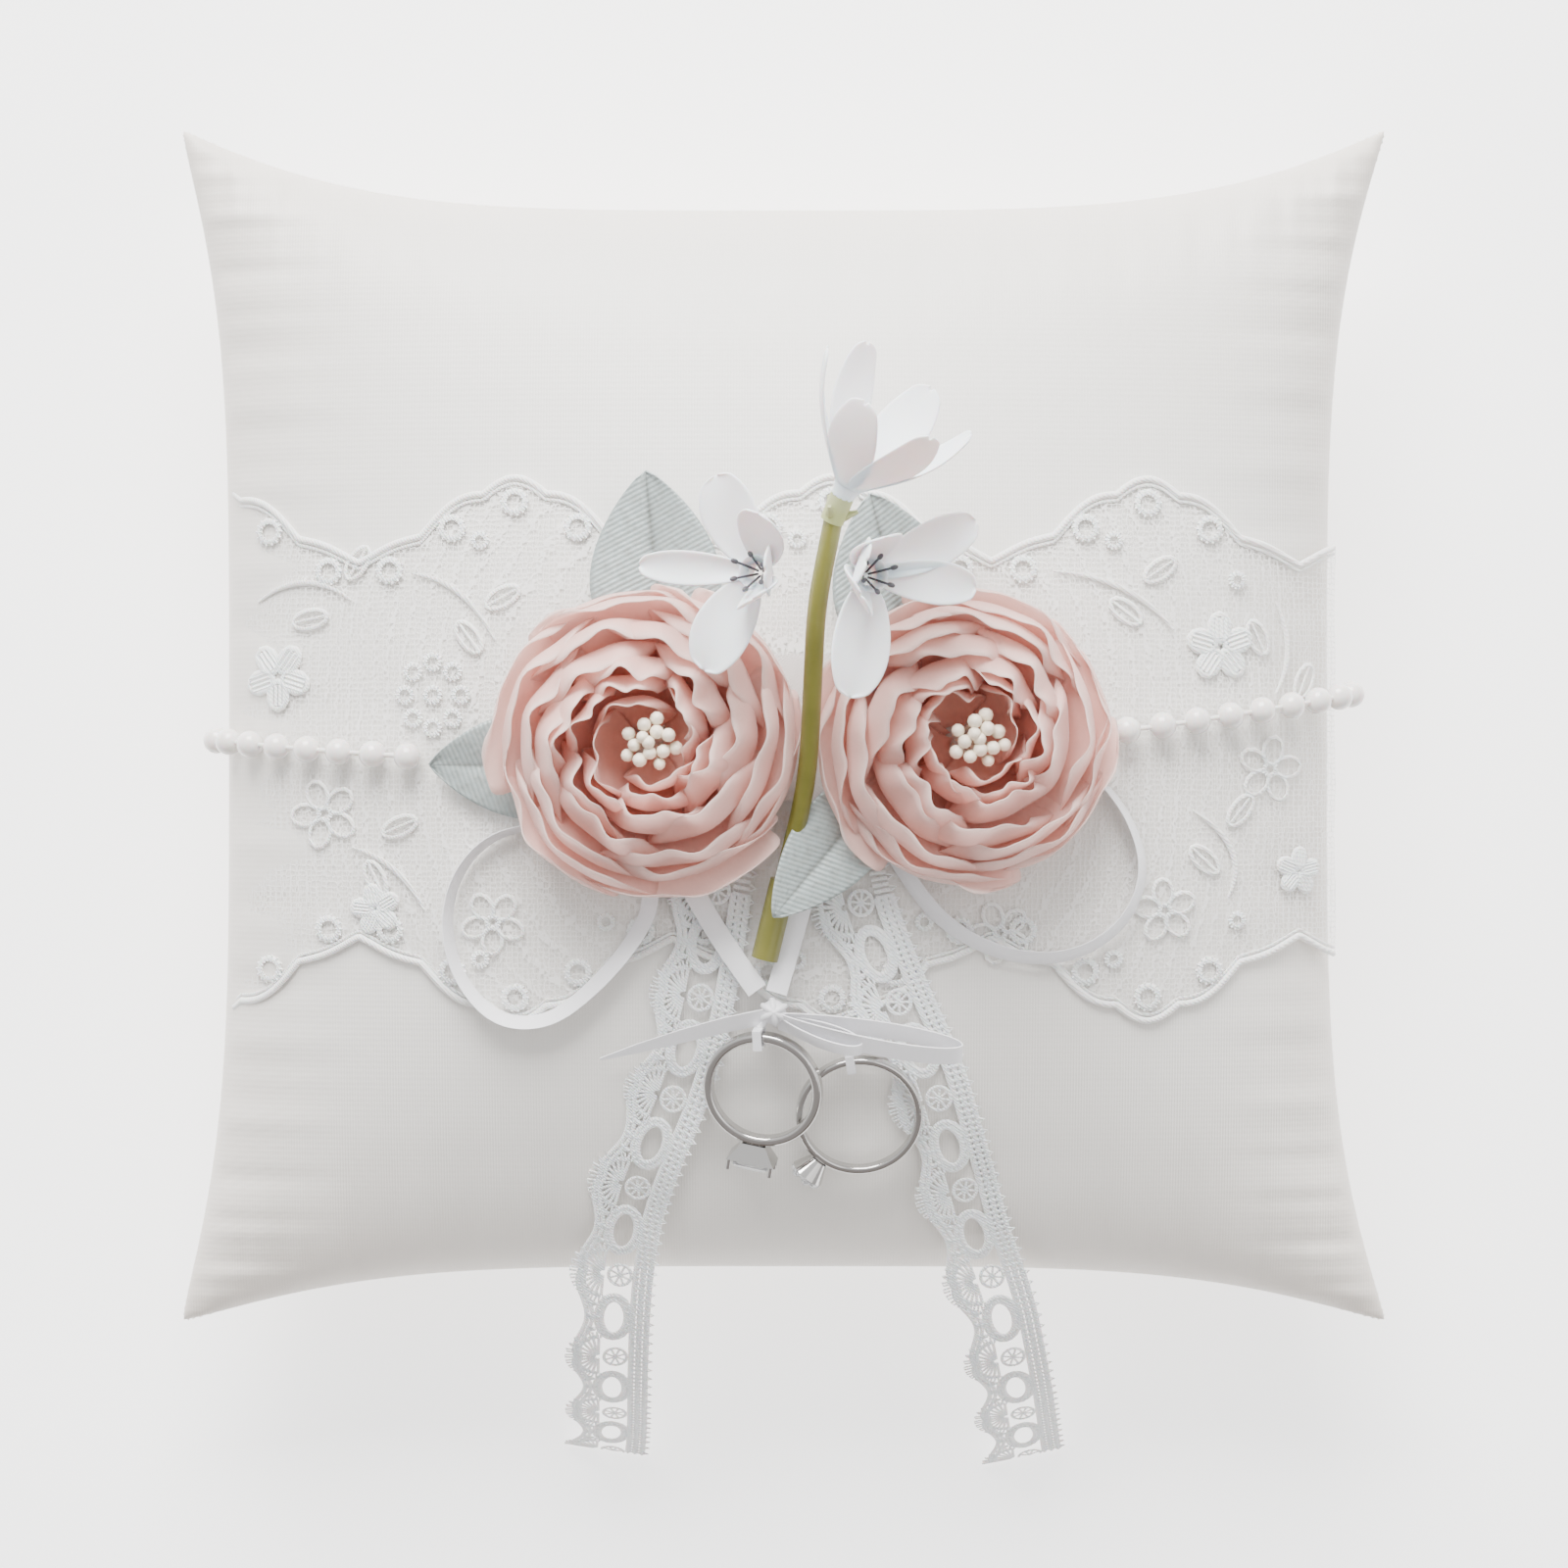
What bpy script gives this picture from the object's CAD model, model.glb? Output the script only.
"""Ring bearer pillow: satin pillow with lace band, pearls, fabric roses, blossoms, ribbons and tied rings."""

from math import asin, cos, pi, radians, sin, sqrt
import random

import bpy
from mathutils import Matrix, Vector


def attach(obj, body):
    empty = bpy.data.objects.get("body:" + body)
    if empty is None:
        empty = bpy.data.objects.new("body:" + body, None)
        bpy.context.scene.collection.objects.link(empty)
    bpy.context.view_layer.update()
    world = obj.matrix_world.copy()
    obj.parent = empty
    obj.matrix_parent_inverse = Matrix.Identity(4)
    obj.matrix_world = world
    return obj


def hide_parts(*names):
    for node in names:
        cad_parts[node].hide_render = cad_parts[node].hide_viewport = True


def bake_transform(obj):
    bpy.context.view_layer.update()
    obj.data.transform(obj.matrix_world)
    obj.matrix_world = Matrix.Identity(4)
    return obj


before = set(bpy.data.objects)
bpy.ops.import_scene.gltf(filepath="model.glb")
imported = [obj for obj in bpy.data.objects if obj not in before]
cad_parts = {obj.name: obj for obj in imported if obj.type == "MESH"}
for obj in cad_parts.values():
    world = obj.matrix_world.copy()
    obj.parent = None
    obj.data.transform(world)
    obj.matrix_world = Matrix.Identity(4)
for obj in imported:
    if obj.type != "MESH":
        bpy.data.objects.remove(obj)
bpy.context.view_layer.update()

bl_info = {
    "name": "Ring bearer pillow",
    "version": (1, 0, 0),
    "blender": (4, 5, 0),
    "location": "3D View > Sidebar > Pillow",
    "description": "Builds the soft and fine pieces of a ring bearer pillow around its packed frame",
    "category": "Object",
}

MM = 0.001
SEAM_Z, CROWN = 30.0, 34.0
HALF_WIDTH, HALF_HEIGHT = 91.0, 87.5
EAR_X, EAR_Y = 11.5, 14.0


# ------------------------------------------------------------------ the pillow's skin
def skin(angle, y, lift=0.0):
    """Point of the skin in mm at an angle in radians round from the crown and a distance along."""
    u = sin(angle)
    v = max(-1.0, min(1.0, y / (HALF_HEIGHT + EAR_Y * u**4 + lift)))
    x = (HALF_WIDTH + EAR_X * v**4 + lift) * u
    return Vector((x, y, SEAM_Z + (CROWN + lift) * cos(angle) * sqrt(1 - v * v)))


def skin_at(x, y, lift=0.0):
    """Point in mm over the pillow's face at a place in plan."""
    u = x / HALF_WIDTH
    for _ in range(6):
        v = y / (HALF_HEIGHT + EAR_Y * u**4 + lift)
        u = max(-0.999, min(0.999, x / (HALF_WIDTH + EAR_X * v**4 + lift)))
    return skin(asin(u), y, lift)


def skin_normal(x, y, step=0.5):
    across = skin_at(x + step, y) - skin_at(x - step, y)
    along = skin_at(x, y + step) - skin_at(x, y - step)
    return across.cross(along).normalized()


def over(x, y, lift):
    """Point in mm a lift out from the face along its normal."""
    return skin_at(x, y) + skin_normal(x, y) * lift


def basis(normal, along=Vector((1, 0, 0))):
    """Matrix whose z is the normal and whose x lies along the given direction as nearly as it can."""
    normal = normal.normalized()
    x_dir = (along - normal * along.dot(normal)).normalized()
    return Matrix((x_dir, normal.cross(x_dir), normal)).transposed()


# ------------------------------------------------------------------ meshes
class Soup:
    """Vertices and faces in mm, gathered for one piece."""

    def __init__(self):
        self.verts, self.faces, self.tones, self.uvs = [], [], [], []

    def grid(self, rows, closed=False, tones=None, uvs=None):
        """Quads between rows of points."""
        base, width = len(self.verts), len(rows[0])
        for i, row in enumerate(rows):
            self.verts += row
            self.tones += tones[i] if tones else [0.5] * width
            self.uvs += uvs[i] if uvs else [(j, i) for j in range(width)]
        for i in range(len(rows) - 1):
            for j in range(width if closed else width - 1):
                k = (j + 1) % width
                a, b = base + i * width, base + (i + 1) * width
                self.faces.append((a + j, a + k, b + k, b + j))

    def tube(self, points, radius, sides=5, up=None, flat=1.0, closed=False, taper=False):
        """Round or flattened tube along a line of points."""
        rows, last = [], len(points) - 1
        for i, point in enumerate(points):
            ahead = points[(i + 1) % (last + 1)] if closed else points[min(i + 1, last)]
            behind = points[i - 1] if closed else points[max(i - 1, 0)]
            along = (ahead - behind).normalized()
            normal = up[i] if up else Vector((0, 0, 1))
            side = along.cross(normal)
            side = side.normalized() if side.length > 1e-6 else Vector((1, 0, 0))
            normal = side.cross(along)
            r = radius * (0.35 + 0.65 * sin(pi * i / last)) if taper else radius
            ring = [2 * pi * k / sides for k in range(sides)]
            rows.append([point + side * (r * cos(a)) + normal * (r * flat * sin(a)) for a in ring])
        if closed:
            rows.append(rows[0])
        else:
            self.cap(rows[0], True)
            self.cap(rows[-1], False)
        self.grid(rows, closed=True)

    def cap(self, ring, flip):
        base = len(self.verts)
        self.verts += ring
        self.tones += [0.5] * len(ring)
        self.uvs += [(0, 0)] * len(ring)
        order = range(base, base + len(ring))
        self.faces.append(tuple(reversed(order)) if flip else tuple(order))

    def ball(self, centre, radius, rings=6, sides=8, squash=1.0, turn=None):
        rows = []
        for i in range(rings + 1):
            polar = pi * (0.02 + 0.96 * i / rings)
            row = []
            for k in range(sides):
                a = 2 * pi * k / sides
                p = Vector((sin(polar) * cos(a), sin(polar) * sin(a), -cos(polar) * squash)) * radius
                row.append(centre + (turn @ p if turn else p))
            rows.append(row)
        self.cap(rows[0], True)
        self.cap(rows[-1], False)
        self.grid(rows, closed=True)

    def piece(self, name, material, smooth=60):
        """The finished object, in metres, with its doubles merged and its faces turned out."""
        mesh = bpy.data.meshes.new(name)
        mesh.from_pydata([v * MM for v in self.verts], [], self.faces)
        uv = mesh.uv_layers.new(name="UVMap")
        tone = mesh.color_attributes.new(name="tone", type="FLOAT_COLOR", domain="POINT")
        for i, value in enumerate(self.tones):
            tone.data[i].color = (value, value, value, 1)
        for loop in mesh.loops:
            uv.data[loop.index].uv = self.uvs[loop.vertex_index]
        obj = bpy.data.objects.new(name, mesh)
        bpy.context.collection.objects.link(obj)
        mesh.materials.append(material)
        bpy.ops.object.select_all(action="DESELECT")
        bpy.context.view_layer.objects.active = obj
        obj.select_set(True)
        bpy.ops.object.mode_set(mode="EDIT")
        bpy.ops.mesh.select_all(action="SELECT")
        bpy.ops.mesh.remove_doubles(threshold=0.000002)
        bpy.ops.mesh.normals_make_consistent(inside=False)
        bpy.ops.object.mode_set(mode="OBJECT")
        bpy.ops.object.shade_smooth_by_angle(angle=radians(smooth))
        return obj


def solidify(obj, thickness, offset=0.0, subdivide=0):
    """Gives a sheet its thickness in mm, and rounds it."""
    wall = obj.modifiers.new("wall", "SOLIDIFY")
    wall.thickness = thickness * MM
    wall.offset = offset
    if subdivide:
        smooth = obj.modifiers.new("smooth", "SUBSURF")
        smooth.levels = smooth.render_levels = subdivide
    bpy.ops.object.select_all(action="DESELECT")
    bpy.context.view_layer.objects.active = obj
    obj.select_set(True)
    for modifier in list(obj.modifiers):
        if modifier.type in {"SOLIDIFY", "SUBSURF"}:
            bpy.ops.object.modifier_apply(modifier=modifier.name)
    bpy.ops.object.shade_smooth()
    return obj


def settle(obj, body, *nodes, slot=None):
    """Makes a piece ride on its body, if it has one, and stand for CAD nodes."""
    if body:
        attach(obj, body)
    if nodes:
        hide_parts(*nodes)


# ------------------------------------------------------------------ materials
class Value:
    """A number on a shader socket; an expression on values adds its Math nodes."""

    def __init__(self, shader, socket):
        self.shader, self.socket = shader, socket

    def _math(self, operation, *others):
        node = self.shader.tree.nodes.new("ShaderNodeMath")
        node.operation = operation
        for place, value in zip(node.inputs, others):
            self.shader.feed(place, value)
        return Value(self.shader, node.outputs[0])

    def __add__(self, other):
        return self._math("ADD", self, other)

    __radd__ = __add__

    def __mul__(self, other):
        return self._math("MULTIPLY", self, other)

    __rmul__ = __mul__

    def __sub__(self, other):
        return self._math("SUBTRACT", self, other)

    def __rsub__(self, other):
        return self._math("SUBTRACT", other, self)

    def __lt__(self, other):
        return self._math("LESS_THAN", self, other)

    def sine(self):
        return self._math("SINE", self)


class Shader:
    """A material being built: a Principled surface and the nodes that feed it."""

    def __init__(self, name, **sockets):
        self.material = bpy.data.materials.new(name)
        self.material.use_nodes = True
        self.tree = self.material.node_tree
        self.surface = self.tree.nodes["Principled BSDF"]
        self.output = self.tree.nodes["Material Output"]
        self.set(**sockets)

    def feed(self, socket, value):
        if isinstance(value, Value):
            self.tree.links.new(value.socket, socket)
        elif isinstance(value, bpy.types.NodeSocket):
            self.tree.links.new(value, socket)
        else:
            socket.default_value = value

    def set(self, **sockets):
        for name, value in sockets.items():
            self.feed(self.surface.inputs[name.replace("_", " ").title().replace("Ior", "IOR")], value)

    def node(self, kind, settings=None, out=0, **sockets):
        """Any node: its settings first, then the values or links of its sockets."""
        node = self.tree.nodes.new("ShaderNode" + kind)
        for name, value in (settings or {}).items():
            if name == "stops":
                ramp = node.color_ramp.elements
                while len(ramp) < len(value):
                    ramp.new(0.5)
                for stop, (place, colour) in zip(ramp, value):
                    stop.position, stop.color = place, colour
            else:
                setattr(node, name, value)
        for name, value in sockets.items():
            key = int(name[1:]) if name[0] == "i" and name[1:].isdigit() else name.replace("_", " ")
            self.feed(node.inputs[key], value)
        return Value(self, node.outputs[out])

    def place(self):
        return self.node("TexCoord", out=3)

    def uv(self):
        return self.node("UVMap", {"uv_map": "UVMap"})

    def parts(self, vector):
        split = self.tree.nodes.new("ShaderNodeSeparateXYZ")
        self.feed(split.inputs[0], vector)
        return [Value(self, s) for s in split.outputs]

    def noise(self, scale, vector=None, detail=2.0):
        return self.node("TexNoise", Vector=vector or self.place(), Scale=scale, Detail=detail)

    def mix(self, factor, a, b):
        node = self.tree.nodes.new("ShaderNodeMix")
        node.data_type = "RGBA"
        self.feed(node.inputs[0], factor)
        self.feed(node.inputs[6], a)
        self.feed(node.inputs[7], b)
        return Value(self, node.outputs[2])

    def bump(self, height, distance, strength=1.0):
        self.set(normal=self.node("Bump", Height=height, Distance=distance * MM, Strength=strength))

    def tone(self):
        return self.node("Attribute", {"attribute_name": "tone"}, out=2)


def rgba(colour, alpha=1.0):
    return (*colour[:3], alpha)


def cloth(name, colour, shade, pitch, roughness=0.6, sheen=0.3, depth=0.05):
    """Woven cloth with its threads a pitch apart in mm, and a soft change of colour over it."""
    s = Shader(name, roughness=roughness, sheen_weight=sheen, sheen_roughness=0.4)
    x, y, z = s.parts(s.place())
    turn = 2 * pi / (pitch * MM)
    weave = (x * turn).sine() * (y * turn).sine()
    fuzz = s.noise(900.0)
    soft = s.noise(28.0)
    s.set(base_color=s.mix(soft * 0.7 + fuzz * 0.3, rgba(colour), rgba(shade)))
    s.bump(weave * 0.5 + fuzz, depth)
    return s.material


def satin_material(props):
    s = Shader("pillow satin", roughness=0.42, sheen_weight=0.25, sheen_roughness=0.3)
    x, y, z = s.parts(s.place())
    turn = 2 * pi / (0.45 * MM)
    fuzz = s.noise(700.0)
    weave = (x * turn).sine() * 0.3 + (y * turn * 0.5).sine() * 0.2 + fuzz
    low = s.node("MapRange", {"interpolation_type": "SMOOTHSTEP"}, Value=z, i1=0.052, i2=0.02, i3=0.0, i4=1.0)
    soft = s.noise(18.0) * 0.25
    s.set(base_color=s.mix(soft + low * 0.75, rgba(props.satin), rgba(props.satin_shade)))
    s.set(roughness=0.38 + fuzz * 0.15)
    s.bump(weave, 0.03)
    return s.material


def net_material(props):
    """Fine hexagonal net: thread where a cell's edge runs, and open between."""
    s = Shader("tulle net", roughness=0.7, base_color=rgba(props.lace))
    edge = s.node(
        "TexVoronoi", {"feature": "DISTANCE_TO_EDGE"}, Vector=s.place(), Scale=1150.0, Randomness=0.35
    )
    s.set(alpha=(edge < 0.085) * 0.75 + 0.06)
    return s.material


def thread_material(name, colour, roughness=0.55):
    s = Shader(name, roughness=roughness, sheen_weight=0.3, subsurface_weight=0.15, subsurface_scale=0.001)
    twist = s.node("TexWave", {"bands_direction": "DIAGONAL"}, Vector=s.place(), Scale=900.0, Distortion=1.0)
    fuzz = s.noise(2500.0)
    s.set(base_color=s.mix(fuzz, rgba(colour), rgba([c * 0.93 for c in colour])))
    s.bump(twist + fuzz, 0.06)
    return s.material


def organza_material(props):
    """Sheer petal cloth: deeper at a petal's root, paler at its rim, with its light going through."""
    s = Shader("rose organza", roughness=0.55, sheen_weight=0.5, sheen_roughness=0.35)
    tone = s.tone()
    fine = s.noise(1400.0)
    streak = s.noise(220.0)
    ramp = s.node(
        "ValToRGB",
        {"stops": [(0.0, rgba(props.rose_deep)), (0.45, rgba(props.rose)), (1.0, rgba(props.rose_rim))]},
        Fac=tone * 0.9 + streak * 0.16 - 0.03,
    )
    s.set(base_color=ramp, alpha=0.93 - tone * 0.3 + fine * 0.12)
    s.bump(fine, 0.05)
    through = s.tree.nodes.new("ShaderNodeBsdfTranslucent")
    s.feed(through.inputs[0], ramp)
    blend = s.tree.nodes.new("ShaderNodeMixShader")
    blend.inputs[0].default_value = 0.42
    s.tree.links.new(s.surface.outputs[0], blend.inputs[1])
    s.tree.links.new(through.outputs[0], blend.inputs[2])
    s.tree.links.new(blend.outputs[0], s.output.inputs[0])
    return s.material


def leaf_material(props):
    """Shot weave of grey-green and silver threads with a darker vein."""
    s = Shader("leaf cloth", roughness=0.45, sheen_weight=0.3)
    u, v, _ = s.parts(s.uv())
    fine = s.noise(1500.0, detail=4.0)
    slubs = s.node("TexNoise", {"noise_dimensions": "2D"}, Vector=s.uv(), Scale=14.0, Detail=6.0)
    thread = ((u * 150.0 + v * 60.0).sine() * 0.5 + 0.5) * 0.5 + fine * 0.7
    cloth_colour = s.mix(thread, rgba(props.leaf_shade), rgba(props.leaf))
    blue = s.mix(slubs, cloth_colour, rgba((0.38, 0.46, 0.47)))
    s.set(base_color=s.mix(s.tone(), blue, rgba((0.13, 0.14, 0.13))), metallic=thread * 0.3)
    s.bump(thread, 0.12)
    return s.material


def plain(name, colour, shade, scale=300.0, depth=0.03, **sockets):
    """Moulded or painted surface with a faint change of colour and a fine grain."""
    s = Shader(name, **sockets)
    grain = s.noise(scale, detail=3.0)
    s.set(base_color=s.mix(grain, rgba(colour), rgba(shade)))
    s.bump(grain, depth)
    return s.material


def metal_material():
    s = Shader("polished silver", metallic=1.0, base_color=(0.56, 0.55, 0.54, 1))
    scuffs = s.noise(900.0, detail=5.0)
    s.set(roughness=0.07 + scuffs * 0.1)
    s.bump(scuffs, 0.004)
    return s.material


def stone_material(name, colour):
    s = Shader(name, roughness=0.02, base_color=rgba(colour), transmission_weight=0.75, ior=2.0)
    s.bump(s.noise(300.0), 0.002)
    return s.material


# ------------------------------------------------------------------ what a user would change
def colour_property(name, description, value):
    return bpy.props.FloatVectorProperty(
        name=name, description=description, default=value, subtype="COLOR", size=3, min=0, max=1
    )


class PillowColours(bpy.types.PropertyGroup):
    """Colours of the pillow and its flowers."""

    satin: colour_property("Satin", "Face of the pillow", (0.83, 0.82, 0.79))
    satin_shade: colour_property("Satin shade", "Towards the seams", (0.70, 0.62, 0.55))
    lace: colour_property("Lace", "Thread of the lace and the net", (0.96, 0.95, 0.93))
    rose: colour_property("Rose", "Body of a rose petal", (0.95, 0.69, 0.63))
    rose_deep: colour_property("Rose fold", "Root of a rose petal", (0.94, 0.50, 0.40))
    rose_rim: colour_property("Rose rim", "Rim of a rose petal", (0.97, 0.84, 0.80))
    leaf: colour_property("Leaf", "Light threads of a leaf", (0.40, 0.43, 0.41))
    leaf_shade: colour_property("Leaf shade", "Dark threads of a leaf", (0.13, 0.16, 0.145))
    blossom: colour_property("Blossom", "White blossoms", (0.88, 0.89, 0.91))
    ribbon: colour_property("Ribbon", "Narrow satin ribbon", (0.87, 0.87, 0.90))


class PillowSizes(bpy.types.PropertyGroup):
    """Sizes of the fine pieces."""

    ribbon_width: bpy.props.FloatProperty(
        name="Ribbon width", description="Width of the narrow ribbon", default=0.0034, unit="LENGTH"
    )
    rose_petals: bpy.props.IntProperty(name="Rose petals", description="Petals in a whorl", default=6, min=4)
    lace_unit: bpy.props.FloatProperty(
        name="Lace repeat", description="Length of one repeat of the tails", default=0.0176, unit="LENGTH"
    )


def colours():
    return bpy.context.scene.pillow_colours


def sizes():
    return bpy.context.scene.pillow_sizes


class Builder(bpy.types.Operator):
    """Base of the operators that build the pieces."""

    bl_options = {"REGISTER", "UNDO"}

    def execute(self, context):
        self.build()
        return {"FINISHED"}


# ------------------------------------------------------------------ stage
class PILLOW_OT_stage(Builder):
    """Floor, soft light and the camera straight above"""

    bl_idname = "pillow.stage"
    bl_label = "Stage"

    def build(self):
        bpy.ops.object.select_all(action="DESELECT")
        bpy.ops.mesh.primitive_plane_add(size=6.0, location=(0, 0, -0.0002))
        floor = bpy.context.object
        floor.name = "floor"
        s = Shader("pale floor", roughness=0.9, emission_strength=1.6, emission_color=(1, 1, 1, 1))
        s.set(base_color=s.mix(s.noise(3.0), (0.90, 0.90, 0.90, 1), (0.93, 0.93, 0.93, 1)))
        floor.data.materials.append(s.material)
        world = bpy.data.worlds.new("studio")
        bpy.context.scene.world = world
        world.use_nodes = True
        nodes, links = world.node_tree.nodes, world.node_tree.links
        split = nodes.new("ShaderNodeSeparateXYZ")
        ramp = nodes.new("ShaderNodeValToRGB")
        for stop, (place, tint) in zip(
            (*ramp.color_ramp.elements, ramp.color_ramp.elements.new(0.5)),
            ((0.0, (0.16, 0.12, 0.10, 1)), (0.42, (0.45, 0.38, 0.34, 1)), (0.56, (1.0, 1.0, 1.0, 1))),
        ):
            stop.position, stop.color = place, tint
        shift = nodes.new("ShaderNodeMath")
        shift.operation = "MULTIPLY_ADD"
        shift.inputs[1].default_value = shift.inputs[2].default_value = 0.5
        links.new(nodes.new("ShaderNodeTexCoord").outputs["Generated"], split.inputs[0])
        links.new(split.outputs[1], shift.inputs[0])
        links.new(shift.outputs[0], ramp.inputs[0])
        links.new(ramp.outputs[0], nodes["Background"].inputs[0])
        nodes["Background"].inputs[1].default_value = 1.2
        for name, place, aim, size, power, tint in (
            ("window", (-0.15, 1.0, 0.75), (0, 0, 0.03), 0.8, 50.0, (1.0, 0.99, 0.97)),
            ("fill", (0.9, -0.2, 1.2), (0, 0, 0.03), 1.2, 5.0, (1.0, 0.98, 0.95)),
        ):
            lamp = bpy.data.lights.new(name, "AREA")
            lamp.size, lamp.energy, lamp.color = size, power, tint
            obj = bpy.data.objects.new(name, lamp)
            obj.location = place
            obj.rotation_euler = (Vector(aim) - Vector(place)).to_track_quat("-Z", "Y").to_euler()
            bpy.context.collection.objects.link(obj)
        camera = bpy.data.cameras.new("camera")
        camera.sensor_width, camera.lens = 36.0, 124.6
        camera.clip_start, camera.clip_end = 0.05, 20.0
        obj = bpy.data.objects.new("camera", camera)
        obj.location = (0.0, -0.00975, 0.930)
        bpy.context.collection.objects.link(obj)
        bpy.context.scene.camera = obj


# ------------------------------------------------------------------ pillow
def pucker(along, edge, phase):
    """Small pleats that run in from a seam, strongest at the seam, in mm."""
    pleats = sin(along * 0.42 + phase) + 0.8 * sin(along * 0.97 + 2 * phase) + 0.6 * sin(along * 1.73 + 1.3)
    return pleats * edge


def pillow_point(a, b, side):
    """Point of the cover: side 1 is the face and -1 the back."""
    u, v = sin(a), sin(b)
    x = (HALF_WIDTH + EAR_X * v**4) * u
    y = (HALF_HEIGHT + EAR_Y * u**4) * v
    middle_x, middle_y = (1 - v**4) * max(0, abs(u) - 0.8) * 5, (1 - u**4) * max(0, abs(v) - 0.8) * 5
    blunt = 2.4 * abs(u * v) ** 14
    x -= 1.0 * middle_x + blunt * u
    y -= 2.2 * middle_y + blunt * v
    rise = CROWN * cos(a) * cos(b)
    near_x, near_y = max(0.0, abs(u) - 0.72) / 0.28, max(0.0, abs(v) - 0.72) / 0.28
    fold = 0.50 * pucker(x, near_y**1.5 * cos(b) ** 0.4, 0.7 if v > 0 else 1.9)
    fold += 0.50 * pucker(y, near_x**1.5 * cos(a) ** 0.4, 2.6 if u > 0 else 4.0)
    calm = 0.35 * sin(x * 0.045 + 1.0) * sin(y * 0.06 + 0.4) * cos(a) * cos(b) * (near_x + near_y)
    seam = 0.55 * max(0.0, 1 - rise / 1.6) ** 2
    x -= seam * u
    y -= seam * v
    z = SEAM_Z + side * (rise + fold * min(1.0, rise / 6) + calm)
    return Vector((x, y, max(0.0, z)))


class PILLOW_OT_cover(Builder):
    """Stuffed satin cover with its puckered seams, and the line of stitches round it"""

    bl_idname = "pillow.cover"
    bl_label = "Satin cover"

    def build(self):
        soup = Soup()
        steps = 150
        turns = [-pi / 2 + pi * i / steps for i in range(steps + 1)]
        for side in (1, -1):
            soup.grid([[pillow_point(a, b, side) for b in turns] for a in turns])
        cover = soup.piece("satin_cover", satin_material(colours()), smooth=75)
        settle(cover, "pillow", "cover_front", "cover_back", "filling", slot="satin")
        stitches = Soup()
        outline = []
        for i in range(800):
            t = 4.0 * i / 800
            k, f = int(t), (t - int(t)) * pi - pi / 2
            a, b = [(f, -pi / 2), (pi / 2, f), (-f, pi / 2), (-pi / 2, -f)][k]
            outline.append(pillow_point(a, b, 1))
        for i in range(0, 800, 4):
            here, there = outline[i], outline[(i + 3) % 800]
            if (there - here).length > 0.4:
                stitches.tube([here, (here + there) / 2, there], 0.28, sides=5, taper=True)
        thread = stitches.piece("seam_stitches", thread_material("seam thread", colours().satin))
        settle(thread, "pillow", slot="satin")


# ------------------------------------------------------------------ lace band
PITCH, VALLEY_X, DEPTH = 51.0, -17.8, 6.0
UPPER, LOWER = 32.0, -40.5


def scallop(x, side, inset=0.0):
    """Edge of the band in mm: side 1 is the upper edge and -1 the lower."""
    wave = DEPTH * cos(2 * pi * (x - VALLEY_X) / PITCH)
    small = 1.5 * abs(sin(pi * 5 * (x - VALLEY_X) / PITCH))
    middle = UPPER if side > 0 else LOWER
    return middle - side * (wave - small + inset)


def on_skin(points, lift):
    return [skin_at(x, y, lift) for x, y in points]


def ups(points):
    return [skin_normal(x, y) for x, y in points]


def stroke(soup, points, radius, lift=0.75, closed=False, flat=0.7, taper=False, sides=5):
    """Raised line of embroidery along places in plan."""
    line = on_skin(points, lift)
    soup.tube(line, radius, sides, up=ups(points), flat=flat, closed=closed, taper=taper)


def oval(x, y, rx, ry, turn=0.0, count=14):
    c, s = cos(turn), sin(turn)
    ring = [(rx * cos(2 * pi * i / count), ry * sin(2 * pi * i / count)) for i in range(count)]
    return [(x + c * p - s * q, y + s * p + c * q) for p, q in ring]


def eyelet(soup, x, y, radius, thread=0.5):
    stroke(soup, oval(x, y, radius, radius, count=16), thread, closed=True)
    wraps = 14
    for i in range(wraps):
        a = 2 * pi * i / wraps
        inner, outer = radius - thread, radius + thread * 1.15
        stroke(soup, [(x + inner * cos(a), y + inner * sin(a)), (x + outer * cos(a), y + outer * sin(a))],
               thread * 0.42, lift=0.95, sides=4)


def outlined_flower(soup, x, y, size, petals=5, turn=0.0, filled=False):
    for i in range(petals):
        a = turn + 2 * pi * i / petals
        px, py = x + cos(a) * size * 0.62, y + sin(a) * size * 0.62
        stroke(soup, oval(px, py, size * 0.46, size * 0.34, a, 10), 0.34 if not filled else 0.5, closed=True)
        if filled:
            for j in range(4):
                o = (j - 1.5) * size * 0.15
                sx, sy = px - sin(a) * o, py + cos(a) * o
                dx, dy = cos(a) * size * 0.34, sin(a) * size * 0.34
                stroke(soup, [(sx - dx, sy - dy), (sx + dx, sy + dy)], 0.42, lift=0.85, sides=4)
    eyelet(soup, x, y, size * 0.2, 0.3)


def sprig(soup, line, leaves):
    """Curved stalk with outlined leaves."""
    (x0, y0), (x1, y1), (x2, y2) = line
    points = []
    for i in range(13):
        t = i / 12
        a, b, c = (1 - t) ** 2, 2 * t * (1 - t), t * t
        points.append((a * x0 + b * x1 + c * x2, a * y0 + b * y1 + c * y2))
    stroke(soup, points, 0.5, taper=True)
    for x, y, turn in leaves:
        stroke(soup, oval(x, y, 3.0, 1.5, turn, 12), 0.36, closed=True)
        dx, dy = 2.6 * cos(turn), 2.6 * sin(turn)
        stroke(soup, [(x - dx, y - dy), (x + dx, y + dy)], 0.25)


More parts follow.
